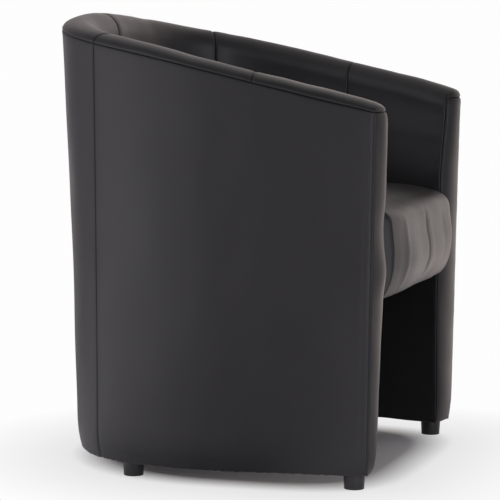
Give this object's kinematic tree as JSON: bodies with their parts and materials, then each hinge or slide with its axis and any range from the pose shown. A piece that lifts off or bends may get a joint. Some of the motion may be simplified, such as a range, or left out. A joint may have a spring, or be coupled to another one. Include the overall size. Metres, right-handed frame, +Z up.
{
  "type": "tub chair",
  "caption": "Low tub chair with a horseshoe back and arms to the floor, a fixed sprung seat and small round feet, covered in black faux leather.",
  "frame": {"origin": "on the floor, in the middle of the chair's width and depth", "axes": "+Z up, +Y towards the back, +X towards the sitter's left; the seat faces -Y"},
  "size_m": [0.6908, 0.648, 0.772],
  "materials": {
    "cover": "black faux leather, fine grain, soft sheen",
    "foam": "cut polyurethane foam, open cells",
    "board": "hardboard, smooth face",
    "timber": "sawn softwood and birch plywood, bare",
    "webbing": "woven elastic webbing",
    "lining": "black non-woven lining",
    "foot": "moulded black plastic",
    "fastener": "zinc-plated steel"
  },
  "bodies": {
    "root": {"outer_side_cover_left": "cover", "outer_side_cover_right": "cover", "outer_back_cover": "cover", "inner_arm_cover_left": "cover", "inner_arm_cover_right": "cover", "inner_quarter_cover_left": "cover", "inner_quarter_cover_right": "cover", "inner_back_cover_left": "cover", "inner_back_cover_right": "cover", "arm_front_cover_left": "cover", "arm_front_cover_right": "cover", "seat_cover": "cover", "arm_foam_left": "foam", "arm_foam_right": "foam", "back_foam": "foam", "arm_front_pad_left": "foam", "arm_front_pad_right": "foam", "seat_foam": "foam", "seat_front_roll": "foam", "outer_side_board_left": "board", "outer_side_board_right": "board", "outer_back_board": "board", "inner_side_board_left": "board", "inner_side_board_right": "board", "inner_back_board": "board", "top_rail_left": "timber", "top_rail_right": "timber", "top_rail_back": "timber", "base_rail_left": "timber", "base_rail_right": "timber", "base_rail_back": "timber", "seat_ledger_left": "timber", "seat_ledger_right": "timber", "rear_post_left": "timber", "rear_post_right": "timber", "back_post": "timber", "arm_front_board_left": "timber", "arm_front_board_right": "timber", "seat_rail_left": "timber", "seat_rail_right": "timber", "seat_rail_rear": "timber", "seat_rail_front": "timber", "seat_strap_1": "webbing", "seat_strap_2": "webbing", "seat_strap_3": "webbing", "seat_cross_strap_1": "webbing", "seat_cross_strap_2": "webbing", "seat_dust_cover": "lining", "foot_front_left": "foot", "foot_front_right": "foot", "foot_rear_left": "foot", "foot_rear_right": "foot", "foot_stud_front_left": "fastener", "foot_stud_front_right": "fastener", "foot_stud_rear_left": "fastener", "foot_stud_rear_right": "fastener", "seat_bolt_front_left": "fastener", "seat_bolt_front_right": "fastener", "seat_bolt_rear_left": "fastener", "seat_bolt_rear_right": "fastener"}
  },
  "joints": []
}
